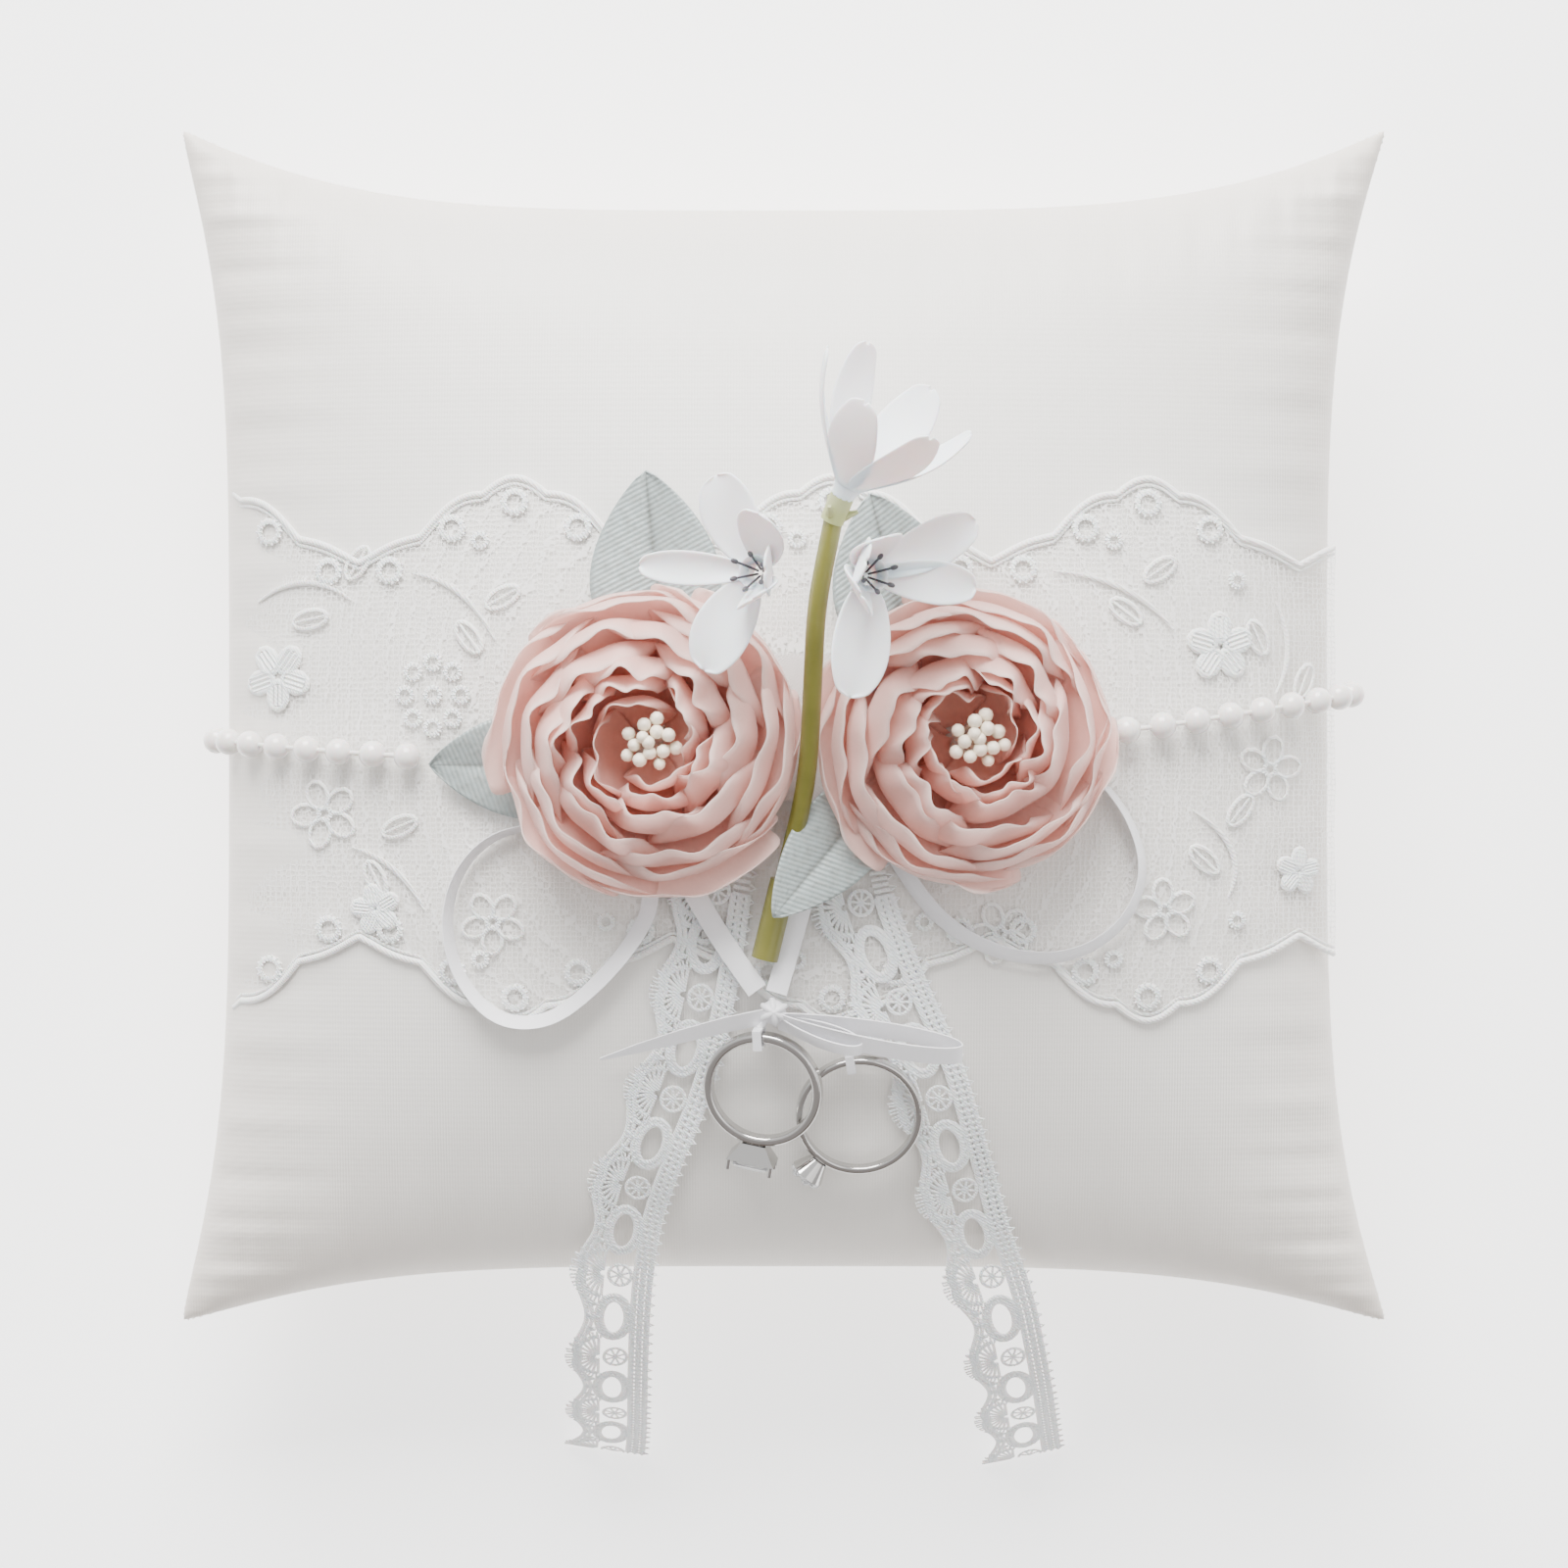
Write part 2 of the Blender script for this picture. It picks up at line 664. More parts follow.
class PILLOW_OT_band(Builder):
    """Net band with scalloped, embroidered edges that crosses the face"""

    bl_idname = "pillow.band"
    bl_label = "Lace band"

    def build(self):
        reach = 90.6
        columns, rows = 260, 44
        soup = Soup()
        grid = []
        for i in range(columns + 1):
            a = asin(max(-1, min(1, reach / HALF_WIDTH))) * (2 * i / columns - 1)
            x = HALF_WIDTH * sin(a)
            low, high = scallop(x, -1), scallop(x, 1)
            ripple = [0.10 * sin(x * 0.33 + j * 0.5) for j in range(rows + 1)]
            grid.append([skin(a, low + (high - low) * j / rows, 0.42 + ripple[j]) for j in range(rows + 1)])
        soup.grid(grid)
        net = soup.piece("lace_net", net_material(colours()), smooth=80)
        settle(net, "pillow", "lace_band", slot="tulle")
        thread = Soup()
        for side in (1, -1):
            xs = [-reach + 2 * reach * i / 520 for i in range(521)]
            stroke(thread, [(x, scallop(x, side)) for x in xs], 0.55, sides=6)
            stroke(thread, [(x, scallop(x, side, 1.0)) for x in xs[::2]], 0.28, lift=0.6)
            for i in range(-9, 9):
                x = VALLEY_X + PITCH / 5 * (i + 0.5)
                if abs(x) < 86:
                    eyelet(thread, x, scallop(x, side, 3.9), 1.75)
                if abs(x) < 84 and i % 5 in (1, 3):
                    eyelet(thread, x + 4.6, scallop(x + 4.6, side, 7.4), 1.1, 0.38)
        rng = random.Random(7)
        for x, y, size, filled in (
            (-74.5, -14.6, 5.2, False), (-46.8, -32.0, 4.8, False), (79.0, -7.4, 5.0, False),
            (61.5, -30.2, 4.8, False), (34.6, -33.6, 4.6, False), (-82.5, 7.8, 5.0, True),
            (70.6, 12.4, 5.0, True), (-66.0, -30.0, 3.6, True), (84.0, -24.0, 3.4, True),
        ):
            outlined_flower(thread, x, y, size, 5, rng.uniform(0, 6), filled)
        for i in range(9):
            a = 2 * pi * i / 8
            r = 0 if i == 8 else 4.6
            eyelet(thread, -56.5 + r * cos(a), 4.6 + r * 1.15 * sin(a), 1.2, 0.36)
        for line, leaves in (
            (((-60.0, 24.2), (-51.0, 23.0), (-46.4, 13.4)), ((-45.2, 20.2, 0.5), (-50.6, 13.8, 2.2))),
            (((43.2, 24.4), (56.0, 23.6), (62.8, 15.2)), ((60.6, 24.8, 0.6), (55.0, 18.0, 2.5))),
            (((-86.0, 20.0), (-78.0, 26.0), (-70.0, 20.0)), ((-77.0, 17.0, 0.2), (-69.0, 26.0, 1.0))),
            (((66.0, -14.0), (76.0, -20.0), (72.0, -28.0)), ((74.0, -14.0, 0.9), (68.0, -22.0, 2.4))),
            (((-70.0, -20.0), (-62.0, -22.0), (-58.0, -30.0)), ((-62.0, -16.6, 0.4), (-66.0, -25.0, 2.0))),
            (((80.0, 20.0), (84.0, 12.0), (80.0, 5.0)), ((85.0, 7.0, 1.2), (77.0, 14.0, 2.0))),
        ):
            sprig(thread, line, leaves)
        embroidery = thread.piece("lace_embroidery", thread_material("embroidery thread", colours().lace))
        settle(embroidery, "pillow", slot="tulle")


# ------------------------------------------------------------------ roses
# radius, height of the rim over the seat, and how far the rim turns in, for each whorl from outside
WHORLS = (
    (24.6, 8.5, 0.5, 0.95),
    (23.4, 11.5, 1.5, 0.85),
    (21.0, 14.5, 2.5, 0.72),
    (18.0, 17.0, 3.5, 0.58),
    (14.8, 18.8, 3.5, 0.45),
    (11.6, 19.6, 2.5, 0.34),
    (8.6, 18.6, 1.2, 0.22),
)
ROSES = {"left": (-20.7, -3.0, 1.0, 11), "right": (27.6, -2.5, 0.955, 23)}


def petal(soup, rng, seat, radius, rim, turn_in, paleness, angle, span):
    """One ruffled petal of a whorl."""
    across, up_steps = 22, 13
    ruffle, phase = rng.uniform(0.35, 0.8), rng.uniform(0, 6)
    lean, drop = rng.uniform(-0.8, 0.8), rng.uniform(0, 1.4)
    rows, tones = [], []
    for j in range(up_steps + 1):
        t = j / up_steps
        row, tone = [], []
        for i in range(across + 1):
            s = 2 * i / across - 1
            side_fall = 1 - 0.42 * abs(s) ** 3
            bulge = radius * (0.30 + 0.70 * sin(min(1.0, t * 1.35) * pi / 2) ** 0.9)
            r = bulge - turn_in * max(0.0, t - 0.62) * 2.6 + 1.3 * s + lean * t
            r += ruffle * t**2 * (sin(5.2 * s + phase) + 0.5 * sin(9.1 * s + 2 * phase))
            z = 2.4 + (rim - drop - 2.4) * (t**1.35) * side_fall
            z += 0.35 * t * sin(7 * s + phase)
            a = angle + span * s * (0.55 + 0.45 * sin(pi * (0.12 + 0.76 * t)))
            row.append(seat @ Vector((r * cos(a), r * sin(a), z)))
            rim_light = max(0.0, (t - 0.86) / 0.14) * 0.35
            tone.append(min(1.0, 0.08 + t * (0.25 + 0.6 * paleness) + rim_light))
        rows.append(row)
        tones.append(tone)
    soup.grid(rows, tones=tones)


class PILLOW_OT_roses(Builder):
    """Two organza roses with their stamens"""

    bl_idname = "pillow.roses"
    bl_label = "Roses"

    def build(self):
        cloth_finish = organza_material(colours())
        pip = plain("stamen pips", (0.86, 0.76, 0.60), (0.93, 0.87, 0.75), 500.0, roughness=0.4)
        for side, (x, y, scale, seed) in ROSES.items():
            rng = random.Random(seed)
            normal = skin_normal(x, y)
            seat = Matrix.Translation(skin_at(x, y) + normal * 2.2) @ basis(normal).to_4x4()
            groups = (("outer", WHORLS[:3]), ("middle", WHORLS[3:5]), ("inner", WHORLS[5:]))
            for group, whorls in groups:
                soup = Soup()
                for k, (radius, rim, turn_in, paleness) in enumerate(whorls):
                    count = sizes().rose_petals if radius > 9 else 4
                    start = rng.uniform(0, 6)
                    for i in range(count):
                        angle = start + 2 * pi * i / count + rng.uniform(-0.15, 0.15)
                        size = radius * scale * rng.uniform(0.965, 1.02)
                        span = 1.4375 * pi / count
                        petal(soup, rng, seat, size, rim, turn_in, paleness, angle, span)
                name = f"rose_{side}_{group}_cloth"
                obj = solidify(soup.piece(name, cloth_finish), 0.16)
                settle(obj, "pillow", f"rose_{side}_{group}_petals", slot="rose_organza")
            heads = Soup()
            for i in range(14):
                a, r = i * 2.4, 4.4 * sqrt(i / 14)
                height = 15.5 - 0.1 * r * r + rng.uniform(-0.5, 0.6)
                top = seat @ Vector((r * cos(a) + 1.0, r * sin(a), height))
                foot = seat @ Vector((r * 0.4 * cos(a), r * 0.4 * sin(a), 3.2))
                heads.ball(top, rng.uniform(1.0, 1.2), 8, 10, 1.2, basis(top - foot))
                heads.tube([foot, (foot + top) / 2, top], 0.22, 5)
            stamens = heads.piece(f"rose_{side}_pips", pip)
            settle(stamens, "pillow", f"rose_{side}_stamens", slot="stamen")


# ------------------------------------------------------------------ leaves
LEAVES = {
    "leaf_upper_left": ((-19.0, 9.5), (-21.6, 39.0), 3.6, 6.0, 21.0),
    "leaf_lower_left": ((-29.0, -6.8), (-55.9, -6.6), 3.2, 3.4, 17.0),
    "leaf_lower_middle": ((16.0, -9.0), (-1.6, -29.3), 5.0, 10.6, 14.0),
    "leaf_upper_right": ((20.5, 9.0), (13.4, 35.4), 3.6, 6.0, 20.0),
}


class PILLOW_OT_leaves(Builder):
    """Pointed cloth leaves that show round the roses"""

    bl_idname = "pillow.leaves"
    bl_label = "Leaves"

    def build(self):
        finish = leaf_material(colours())
        for name, (base, tip, base_lift, tip_lift, width) in LEAVES.items():
            start, end = over(*base, base_lift), over(*tip, tip_lift)
            normal = skin_normal((base[0] + tip[0]) / 2, (base[1] + tip[1]) / 2)
            along = end - start
            across = normal.cross(along).normalized()
            soup = Soup()
            rows, tones, uvs = [], [], []
            for i in range(33):
                t = i / 32
                half = width / 2 * (sin(pi * t**0.8) ** 0.75 if 0 < t < 1 else 0) + 0.05
                row, tone, uv = [], [], []
                for j in range(25):
                    s = j / 12 - 1
                    dip = -0.9 * (1 - abs(s)) ** 2 * sin(pi * t) + 0.5 * sin(4 * t + 2 * s) * abs(s)
                    rib = max(0.0, 1 - abs(((t * 7 - abs(s) * 1.6) % 1.0) - 0.5) * 14) * (abs(s) < 0.9)
                    midrib = max(0.0, 1 - abs(s) * 9)
                    row.append(start + along * t + across * (half * s) + normal * (dip + 0.15 * rib))
                    tone.append(min(1.0, 0.75 * midrib + 0.35 * rib))
                    uv.append((t * along.length / 20, s * half / 20))
                rows.append(row)
                tones.append(tone)
                uvs.append(uv)
            soup.grid(rows, tones=tones, uvs=uvs)
            obj = solidify(soup.piece(name + "_cloth", finish), 0.3)
            settle(obj, "pillow", name, slot="leaf_cloth")


# ------------------------------------------------------------------ blossoms
# place in mm, facing, and for each petal its turn and pitch in degrees, length and width in mm
BLOSSOMS = {
    "left": (
        (-3.2, 23.0, 88.0), (-0.45, 0.0, 1.0),
        ((112, 10, 15, 9.5), (176, 8, 18, 5.5), (240, 5, 16, 10),
         (64, 48, 12, 9), (0, 68, 9, 8), (300, 66, 9, 8)),
    ),
    "right": (
        (12.2, 22.5, 91.0), (0.45, 0.0, 1.0),
        ((26, 8, 18, 7.5), (-6, 10, 16, 7), (258, 6, 18, 10),
         (105, 66, 10, 9), (160, 70, 10, 9), (212, 62, 11, 9)),
    ),
    "top": (
        (8.9, 34.6, 91.8), (0.45, 0.8, 0.35),
        ((0, 55, 20, 9), (60, 58, 20, 9), (120, 60, 22, 8),
         (180, 58, 22, 8), (240, 60, 19, 9), (300, 58, 19, 9)),
    ),
}


class PILLOW_OT_blossoms(Builder):
    """White six-petalled blossoms with dark-tipped stamens, and the stem"""

    bl_idname = "pillow.blossoms"
    bl_label = "Blossoms"

    def build(self):
        white = plain("blossom foam", colours().blossom, (0.82, 0.83, 0.87), 260.0, 0.05,
                      roughness=0.55, subsurface_weight=0.3, subsurface_scale=0.003)
        dark = plain("stamen tips", (0.05, 0.05, 0.06), (0.10, 0.09, 0.10), 500.0, roughness=0.5)
        for name, (place, facing, petals) in BLOSSOMS.items():
            facing = Vector(facing).normalized()
            frame_matrix = basis(facing, Vector((1, 0, 0)))
            place = Vector(place)
            soup = Soup()
            for turn, pitch, length, width in petals:
                a, p = radians(turn), radians(pitch)
                out = frame_matrix @ Vector((cos(a), sin(a), 0))
                side = frame_matrix @ Vector((-sin(a), cos(a), 0))
                rows = []
                for i in range(19):
                    t = i / 18
                    bend = p + (0.5 - t) * 0.9
                    reach = length * (t * cos(p) + 0.10 * sin(pi * t))
                    rise = length * t * sin(p) + 2.2 * t * cos(p) * (1 - t) * 2 + 1.6
                    swell = 0.30 + 0.70 * sin(pi * min(1.0, t**0.85) * 0.97) ** 0.8
                    half = width / 2 * swell if t < 1 else 0.3
                    row = []
                    for j in range(11):
                        s = j / 5 - 1
                        cup = 1.1 * s * s * (1 - 0.4 * t)
                        row.append(place + out * (1.5 + reach) + side * (half * s) + facing * (rise + cup))
                    rows.append(row)
                soup.grid(rows)
            cup = []
            for i in range(7):
                t = i / 6
                r = 1.7 + 1.1 * t * t
                cup.append([place + frame_matrix @ Vector((r * cos(k * pi / 8), r * sin(k * pi / 8), 3.4 * t))
                            for k in range(16)])
            soup.grid(cup, closed=True)
            obj = solidify(soup.piece(f"blossom_{name}_cloth", white), 0.45, subdivide=1)
            settle(obj, "pillow", f"blossom_{name}_petals", slot="blossom")
            tips = Soup()
            for i in range(6):
                a = 2 * pi * i / 6 + 0.4
                foot = place + frame_matrix @ Vector((0.5 * cos(a), 0.5 * sin(a), 1.0))
                top = place + frame_matrix @ Vector((2.9 * cos(a), 2.9 * sin(a), 6.2 + 0.6 * cos(3 * a)))
                tips.tube([foot, foot.lerp(top, 0.5), foot.lerp(top, 0.8)], 0.2, 5)
                tips.ball(foot.lerp(top, 0.92), 0.42, 6, 8, 1.9, basis(top - foot))
            stamens = tips.piece(f"blossom_{name}_tips", dark)
            settle(stamens, "pillow", f"blossom_{name}_stamens", slot="blossom_stamen")
        stem = plain("stem", (0.11, 0.11, 0.015), (0.22, 0.21, 0.04), 150.0, 0.06,
                     roughness=0.35, coat_weight=0.2)
        for node in ("flower_stem", "stem_sleeve"):
            paint(node, stem)
        calyx = Soup()
        base, tip = Vector((7.4, 31.0, 90.4)), Vector((9.4, 35.6, 92.2))
        calyx.tube([base, base.lerp(tip, 0.4), base.lerp(tip, 0.8), tip], 1.9, 12)
        for i in range(3):
            a = 2 * pi * i / 3
            arm = basis(tip - base) @ Vector((cos(a), sin(a), 0.9))
            calyx.tube([base, base + arm * 1.5, base + arm * 3.2], 0.8, 6, taper=True)
        green = plain("bract", (0.34, 0.38, 0.09), (0.45, 0.46, 0.30), 200.0, 0.05, roughness=0.5)
        settle(calyx.piece("blossom_bract", green), "pillow", slot="stem")


def paint(node, material):
    """Gives a CAD node a better material."""
    obj = bpy.data.objects[node]
    obj.data.materials.clear()
    obj.data.materials.append(material)


class PILLOW_OT_pearls(Builder):
    """Strings of pearls on the net"""

    bl_idname = "pillow.pearls"
    bl_label = "Pearls"

    def build(self):
        s = Shader("pearl", roughness=0.22, coat_weight=0.6, coat_roughness=0.08, subsurface_weight=0.2,
                   subsurface_scale=0.002)
        bloom = s.noise(260.0)
        s.set(base_color=s.mix(bloom, (0.80, 0.76, 0.74, 1), (0.88, 0.86, 0.83, 1)))
        for node in ("pearls_left", "pearls_right"):
            paint(node, s.material)
        paint("felt_pad", cloth("felt", (0.80, 0.79, 0.77), (0.74, 0.73, 0.70), 0.6))
        for side in ("left", "right"):
            felt = cloth("calyx felt " + side, (0.72, 0.66, 0.60), (0.66, 0.60, 0.54), 0.6)
            paint(f"rose_{side}_calyx", felt)


# ------------------------------------------------------------------ ribbons
RIBBONS = {
    "ribbon_loop_left": (
        (-33.0, -14.8, 2.4), (-39.8, -16.2, 2.4), (-47.2, -18.3, 2.4), (-52.4, -24.6, 2.4),
        (-53.9, -32.6, 2.4), (-51.8, -41.0, 2.4), (-45.8, -47.6, 2.4), (-37.4, -47.6, 2.4),
        (-30.2, -42.0, 2.4), (-24.2, -35.2, 2.3), (-20.4, -28.2, 2.2), (-21.4, -21.0, 2.2),
    ),
    "ribbon_loop_right": (
        (43.0, -3.0, 2.4), (49.3, -8.0, 2.4), (55.0, -15.0, 2.4), (57.6, -23.6, 2.4), (54.6, -31.6, 2.4),
        (47.4, -36.8, 2.4), (38.2, -37.6, 2.4), (29.0, -34.4, 2.4), (21.4, -27.8, 2.6), (17.0, -20.0, 2.6),
    ),
    "tie_strand_left": (
        (-19.0, -13.6, 3.4), (-17.2, -21.0, 2.9), (-13.0, -29.0, 2.7), (-8.4, -36.4, 2.9), (-4.2, -41.8, 4.3),
    ),
    "tie_strand_right": (
        (7.6, -12.6, 3.3), (5.2, -21.0, 2.6), (2.7, -29.0, 2.6), (0.8, -35.8, 2.7), (-1.2, -42.1, 4.7),
    ),
}
# how far each ribbon is turned over from standing on its edge, in degrees, at its start and its end
TILTS = {
    "ribbon_loop_left": (12, 55), "ribbon_loop_right": (12, 50), "tie_strand_left": (78, 88),
    "tie_strand_right": (60, 88),
}


def ribbon_material(name="satin ribbon"):
    s = Shader(name, roughness=0.36, sheen_weight=0.3, sheen_roughness=0.3)
    fine = s.noise(1600.0, detail=3.0)
    s.set(base_color=s.mix(fine, rgba(colours().ribbon), rgba([c * 0.95 for c in colours().ribbon])))
    s.bump(fine, 0.03)
    return s.material


def ribbon_curve(name, places, tilts, finish):
    """Flat ribbon along a smooth spline whose control points are the route's."""
    curve = bpy.data.curves.new(name, "CURVE")
    curve.dimensions = "3D"
    curve.resolution_u = 10
    curve.extrude = sizes().ribbon_width / 2 - 0.00009
    curve.bevel_depth = 0.00009
    curve.bevel_resolution = 1
    curve.twist_mode = "Z_UP"
    spline = curve.splines.new("NURBS")
    spline.points.add(len(places) - 1)
    for i, (point, place) in enumerate(zip(spline.points, places)):
        point.co = (*(over(*place) * MM), 1.0)
        point.tilt = radians(tilts[0] + (tilts[1] - tilts[0]) * i / (len(places) - 1))
    spline.order_u = 3
    spline.use_endpoint_u = True
    obj = bpy.data.objects.new(name, curve)
    bpy.context.collection.objects.link(obj)
    curve.materials.append(finish)
    return obj


def spline_length(obj):
    bare = obj.copy()
    bare.data = obj.data.copy()
    bare.data.extrude = bare.data.bevel_depth = 0
    line = bpy.data.meshes.new_from_object(bare)
    points = [v.co.copy() for v in line.vertices]
    bpy.data.objects.remove(bare)
    return sum((b - a).length for a, b in zip(points, points[1:])), points


def strip(soup, points, across, width, thick=0.22):
    """Flat band with a little thickness along points, each with its direction across."""
    last = len(points) - 1
    rows = []
    for i, (p, side) in enumerate(zip(points, across)):
        along = (points[min(i + 1, last)] - points[max(i - 1, 0)]).normalized()
        side = (side - along * side.dot(along)).normalized()
        up = along.cross(side)
        w = width[i] / 2 if isinstance(width, list) else width / 2
        rows.append([p + side * w + up * thick / 2, p + up * thick / 2, p - side * w + up * thick / 2,
                     p - side * w - up * thick / 2, p - up * thick / 2, p + side * w - up * thick / 2])
    soup.cap(rows[0], True)
    soup.cap(rows[-1], False)
    soup.grid(rows, closed=True)


KNOT = Vector((-1.63, -46.13, 64.02))


def bow_loop(soup, tip, fat, width, lift, tilt):
    """Teardrop of ribbon from the knot out to its tip and back."""
    start = KNOT + Vector((0.9, -1.5, lift))
    end = Vector(tip)
    along = end - start
    across = Vector((0, -1, 0)) * cos(tilt) + Vector((0, 0, -1)) * sin(tilt)
    rise = along.normalized().cross(across).normalized()
    rise = rise if rise.z > 0 else -rise
    points = []
    for i in range(41):
        t = 2 * pi * i / 40
        reach = (1 - cos(t)) / 2
        swell = fat * sin(t) * reach**0.35
        points.append(start + along * reach + rise * swell)
    strip(soup, points, [across] * len(points), width)


class PILLOW_OT_ribbons(Builder):
    """Free ribbon loops, the two strands that hold the rings, the knot and the bow"""

    bl_idname = "pillow.ribbons"
    bl_label = "Ribbons and bow"

    def build(self):
        finish = ribbon_material()
        cords = {}
        for name, places in RIBBONS.items():
            cords[name] = ribbon_curve(name + "_satin", places, TILTS[name], finish)
            settle(cords[name], "pillow", name, slot="ribbon")
        soup = Soup()
        soup.ball(KNOT, 2.0, 12, 16, 0.85)
        for turn in (0.5, 1.7, 2.6):
            ring = [KNOT + Vector((2.0 * cos(a) * cos(turn), 2.0 * cos(a) * sin(turn), 1.85 * sin(a)))
                    for a in [2 * pi * i / 24 for i in range(24)]]
            soup.tube(ring, 0.5, 6, closed=True)
        knot = soup.piece("bow_knot", finish)
        settle(knot, "ring_tie", "tie_knot", slot="ribbon")
        pieces = [knot]
        for name, tip, fat, width, lift, tilt, node in (
            ("bow_small", (12.4, -51.8, 65.0), 1.9, 2.8, -0.2, 0.95, "bow_loop_small"),
            ("bow_large", (28.4, -52.6, 64.4), 2.4, 3.8, 0.3, 0.8, "bow_loop_large"),
        ):
            soup = Soup()
            bow_loop(soup, tip, fat, width, lift, tilt)
            obj = soup.piece(name, finish)
            settle(obj, "ring_tie", node, slot="ribbon")
            pieces.append(obj)
        soup = Soup()
        path = [over(-3.0, -45.6, 5.4), over(-9.0, -46.8, 5.6), over(-16.0, -48.9, 4.6),
                over(-23.0, -51.2, 3.4), over(-29.3, -53.2, 2.8)]
        strip(soup, path, [Vector((0.1, -0.8, -0.6))] * 5, [3.0, 3.0, 2.6, 1.8, 0.4])
        tail = soup.piece("bow_tail_satin", finish)
        settle(tail, "ring_tie", "bow_tail", slot="ribbon")
        pieces.append(tail)
        for side in ("left", "right"):
            paint(f"tie_loop_{side}", finish)
            pieces.append(bpy.data.objects[f"tie_loop_{side}"])
        for name, far_end, carried in (
            ("ribbon_loop_left", "object", []), ("ribbon_loop_right", "object", []),
            ("tie_strand_left", "knot", pieces), ("tie_strand_right", "knot", [knot]),
        ):
            length, points = spline_length(cords[name])


# ------------------------------------------------------------------ lace tails
TAILS = {
    "left": ((-10.6, -15.5), (-12.2, -28.0), (-14.4, -42.0), (-17.8, -56.0), (-22.6, -68.0), (-25.6, -76.0)),
    "right": ((8.2, -15.5), (10.6, -28.0), (15.8, -42.0), (22.0, -56.0), (25.8, -68.0), (28.2, -76.0)),
}
FREE = {
    "left": ((-27.4, -84.0, 43.4), (-28.4, -91.0, 39.4), (-29.0, -98.0, 35.4), (-29.4, -105.0, 30.0),
             (-29.7, -111.5, 22.6), (-30.0, -117.0, 14.0), (-30.4, -121.5, 5.6), (-30.7, -123.6, 0.9)),
    "right": ((30.3, -84.0, 43.2), (32.8, -91.0, 39.2), (35.0, -98.0, 35.2), (36.6, -105.0, 29.8),
              (38.0, -111.5, 22.4), (39.2, -117.5, 13.6), (40.2, -122.5, 5.4), (40.7, -124.8, 0.9)),
}


def catmull(points, steps):
    """Smooth line through points."""
    line = []
    for i in range(len(points) - 1):
        p0, p1, p2 = points[max(i - 1, 0)], points[i], points[i + 1]
        p3 = points[min(i + 2, len(points) - 1)]
        for k in range(steps):
            t = k / steps
            line.append(0.5 * (2 * p1 + (p2 - p0) * t + (2 * p0 - 5 * p1 + 4 * p2 - p3) * t * t
                               + (3 * p1 - p0 - 3 * p2 + p3) * t**3))
    line.append(points[-1])
    return line


def lace_unit(unit):
    """Threads of one repeat: each is a line of (across, along) in mm with its radius."""
    threads = []
    half = unit / 2
    for x in (4.0, 5.2, 6.4):
        threads.append(([(x, unit * k / 8) for k in range(9)], 0.42))
    for k in range(16):
        y = unit * k / 16
        threads.append(([(3.9, y), (6.5, y + 0.25)], 0.26))
    for k in range(8):
        y = unit * (k + 0.5) / 8
        threads.append(([(6.5, y - 0.5), (7.5, y), (6.5, y + 0.5)], 0.16))
    for rx, ry, r in ((2.1, 3.7, 0.42), (2.9, 4.6, 0.36)):
        ring = [(0.9 + rx * cos(2 * pi * k / 20), half + ry * sin(2 * pi * k / 20)) for k in range(21)]
        threads.append((ring, r))
    for k in range(20):
        a = 2 * pi * k / 20
        inner, outer = (0.9 + 2.0 * cos(a), half + 3.6 * sin(a)), (0.9 + 3.0 * cos(a), half + 4.7 * sin(a))
        threads.append(([inner, outer], 0.2))
    for y in (0.0, unit):
        sign = 1 if y == 0 else -1
        arc = [(1.4 + 1.9 * cos(pi * k / 8), y + sign * 2.1 * sin(pi * k / 8)) for k in range(9)]
        threads.append((arc, 0.24))
        for k in (1, 3, 5, 7):
            a = pi * k / 8
            threads.append(([(1.4, y), (1.4 + 1.9 * cos(a), y + sign * 2.1 * sin(a))], 0.17))
        for k in range(7):
            a = pi * (0.5 + k / 12.0)
            x0, y0 = -1.4 + 0.5 * cos(a), y + sign * 0.5 * sin(a)
            x1, y1 = -1.4 + 3.6 * cos(a), y + sign * 4.4 * sin(a)
            threads.append(([(x0, y0), (x1, y1)], 0.22))
            dx, dy = cos(a) * 1.9, sign * sin(a) * 1.3
            nx, ny = -0.32 * sin(a), 0.32 * cos(a)
            threads.append(([(x1 + nx, y1 + ny), (x1 + dx + nx, y1 + dy + ny), (x1 + dx - nx, y1 + dy - ny),
                             (x1 - nx, y1 - ny)], 0.17))
        turns = [pi * (0.5 + k / 16) for k in range(9)]
        rim = [(-1.4 + 3.7 * cos(a), y + sign * 4.5 * sin(a)) for a in turns]
        threads.append((rim, 0.36))
    turns = [pi * k / 16 for k in range(17)]
    guard = [(-1.4 - 3.7 * cos(a) ** 2 - 2.1 * sin(a), unit * a / pi) for a in turns]
    threads.append((guard, 0.38))
    threads.append(([(x + 0.9, y) for x, y in guard], 0.3))
    for k in range(-1, 2):
        y = half + k * 2.6
        threads.append(([(-3.7, y - 0.5), (-2.0, y)], 0.3))
        threads.append(([(-3.7, y + 0.5), (-2.0, y)], 0.22))
    return threads


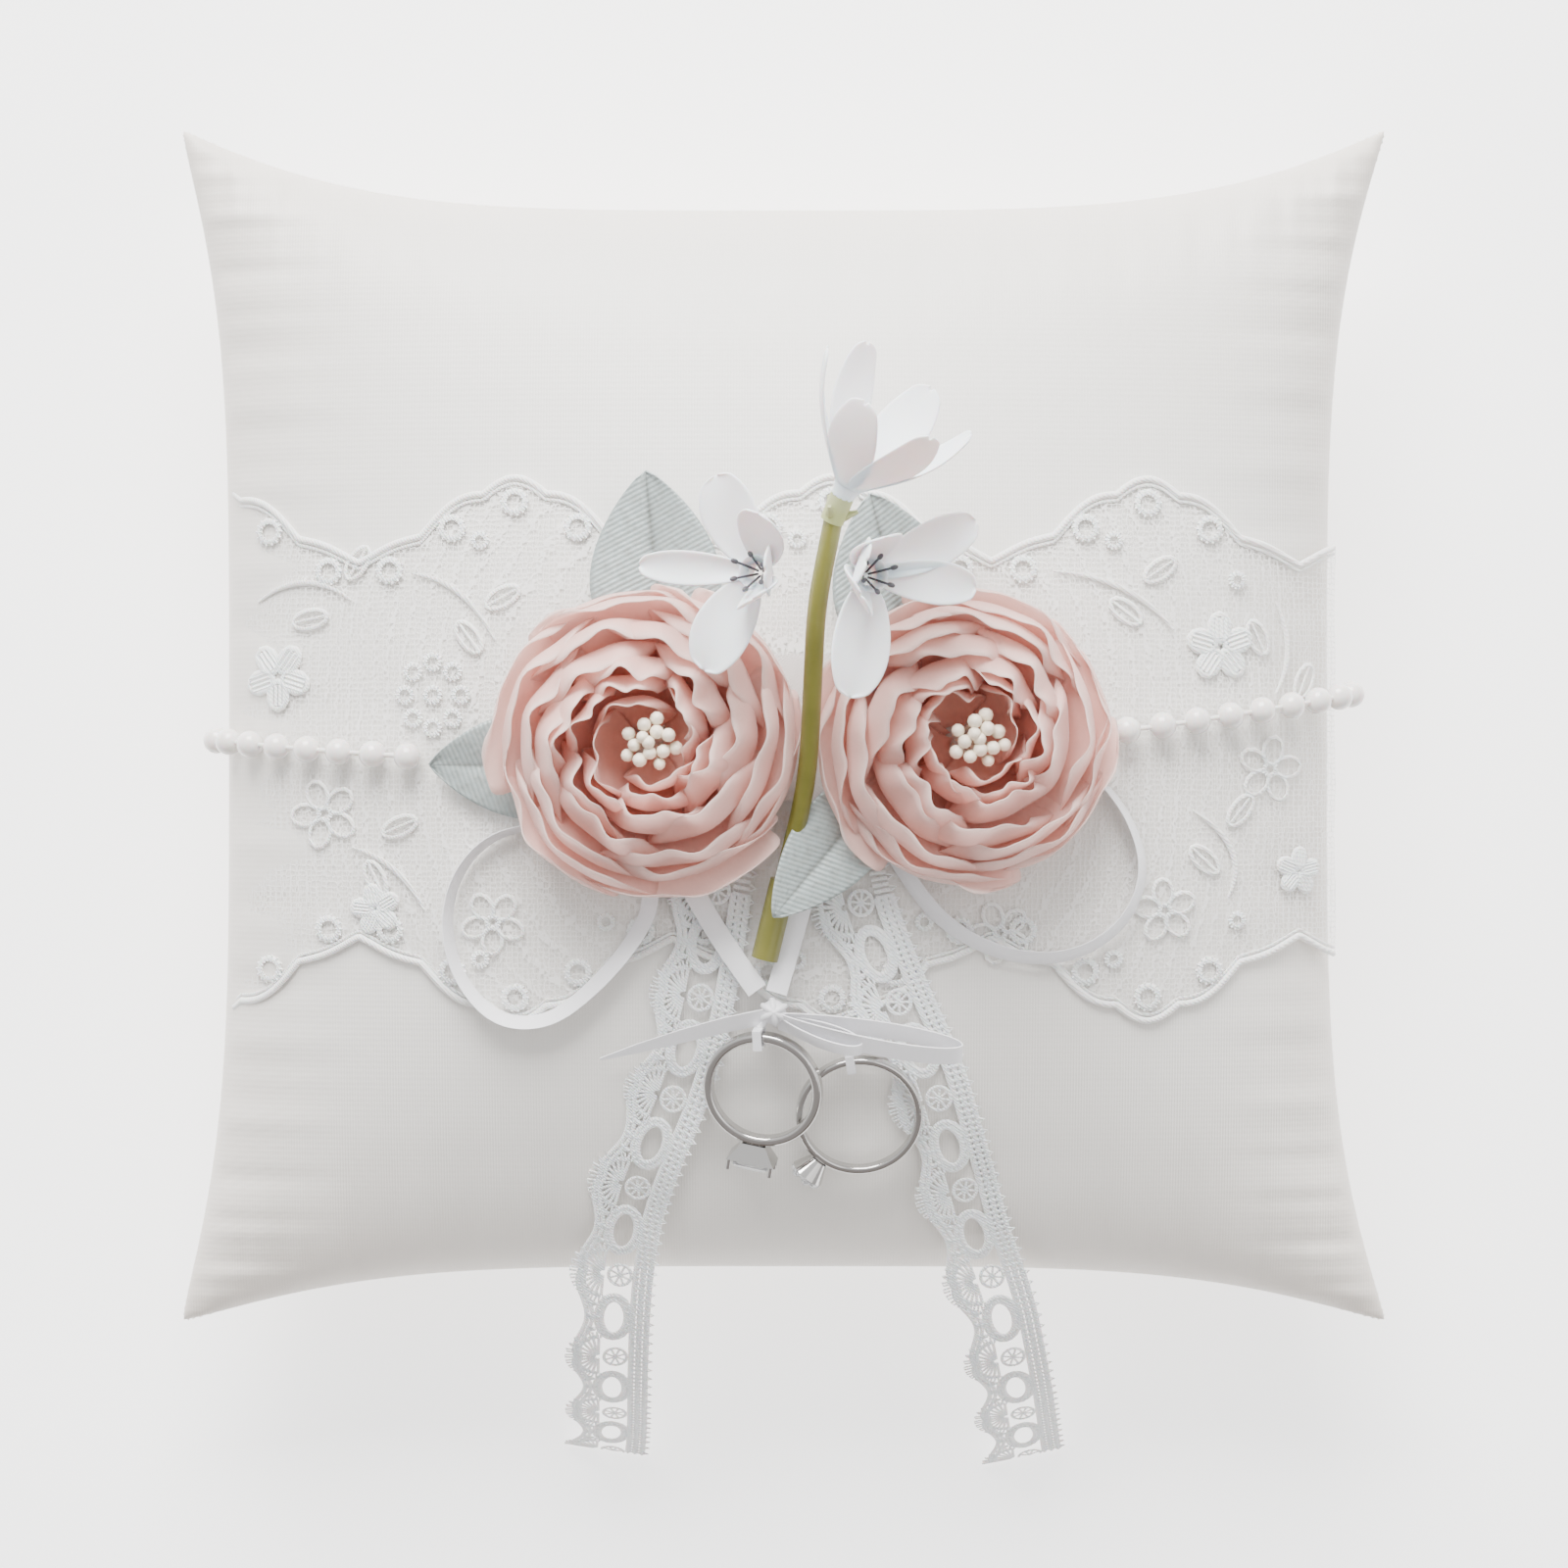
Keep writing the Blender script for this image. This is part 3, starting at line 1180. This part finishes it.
class PILLOW_OT_tails(Builder):
    """Open thread-work lace tails that fall over the pillow's lower edge"""

    bl_idname = "pillow.tails"
    bl_label = "Lace tails"

    def build(self):
        finish = thread_material("lace thread", (0.97, 0.97, 0.97), 0.7)
        unit = sizes().lace_unit / MM
        for side in ("left", "right"):
            points = [over(x, y, 1.2) for x, y in TAILS[side]] + [Vector(p) for p in FREE[side]]
            line = catmull(points, 8)
            total = [0.0]
            for a, b in zip(line, line[1:]):
                total.append(total[-1] + (b - a).length)
            frames = []
            for i, p in enumerate(line):
                along = (line[min(i + 1, len(line) - 1)] - line[max(i - 1, 0)]).normalized()
                across = Vector((-along.y, along.x, 0)).normalized()
                frames.append((p, across, across.cross(along).normalized()))

            def place(x, s, lift=0.0):
                s = max(0.0, min(total[-1] - 0.001, s))
                i = max(k for k in range(len(total)) if total[k] <= s)
                f = (s - total[i]) / (total[i + 1] - total[i])
                p, c, n = (frames[i][m].lerp(frames[i + 1][m], f) for m in range(3))
                wave = 0.35 * sin(s * 0.21) * (x / 8)
                return p + c * x + n * (lift + wave), -n if n.z < 0 else n

            soup = Soup()
            count = int(total[-1] / unit) + 1
            offset = total[-1] - count * unit
            for k in range(count):
                for thread, radius in lace_unit(unit):
                    here = [(x, y + k * unit + offset) for x, y in thread]
                    if min(y for _, y in here) < 0:
                        continue
                    both = [place(x, y, 0.12 if radius > 0.3 else 0.0) for x, y in here]
                    soup.tube([p for p, _ in both], radius * 1.2, 4, up=[n for _, n in both], flat=0.6)
            tail = soup.piece(f"lace_tail_{side}_thread", finish, smooth=70)
            settle(tail, None, f"lace_tail_{side}", f"lace_end_{side}", slot="lace")
            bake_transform(tail)


# ------------------------------------------------------------------ rings
class PILLOW_OT_rings(Builder):
    """Polished bands, prongs and faceted stones"""

    bl_idname = "pillow.rings"
    bl_label = "Rings"

    def build(self):
        silver = metal_material()
        clear = stone_material("clear stone", (0.95, 0.96, 0.98))
        for node in ("ring_left_band", "ring_right_band", "ring_left_setting", "ring_right_setting"):
            paint(node, silver)
        for node in ("ring_left_stone", "ring_right_stones"):
            paint(node, clear)


CLASSES = (
    PillowColours, PillowSizes, PILLOW_OT_stage, PILLOW_OT_ribbons, PILLOW_OT_cover, PILLOW_OT_band,
    PILLOW_OT_pearls, PILLOW_OT_roses, PILLOW_OT_leaves, PILLOW_OT_blossoms, PILLOW_OT_tails, PILLOW_OT_rings,
)
STEPS = [c for c in CLASSES if issubclass(c, Builder)]


class PILLOW_PT_panel(bpy.types.Panel):
    """Lists the pillow's pieces"""

    bl_idname = "PILLOW_PT_panel"
    bl_label = "Ring bearer pillow"
    bl_space_type = "VIEW_3D"
    bl_region_type = "UI"
    bl_category = "Pillow"

    def draw(self, context):
        for group in (context.scene.pillow_colours, context.scene.pillow_sizes):
            for name in group.__annotations__:
                self.layout.prop(group, name)
        for step in STEPS:
            self.layout.operator(step.bl_idname)


def register():
    for cls in (*CLASSES, PILLOW_PT_panel):
        bpy.utils.register_class(cls)
    bpy.types.Scene.pillow_colours = bpy.props.PointerProperty(type=PillowColours)
    bpy.types.Scene.pillow_sizes = bpy.props.PointerProperty(type=PillowSizes)


def unregister():
    del bpy.types.Scene.pillow_sizes
    del bpy.types.Scene.pillow_colours
    for cls in reversed((*CLASSES, PILLOW_PT_panel)):
        bpy.utils.unregister_class(cls)


def main():
    register()
    for step in STEPS:
        getattr(bpy.ops.pillow, step.bl_idname.split(".")[1])()


if __name__ == "__main__":
    main()
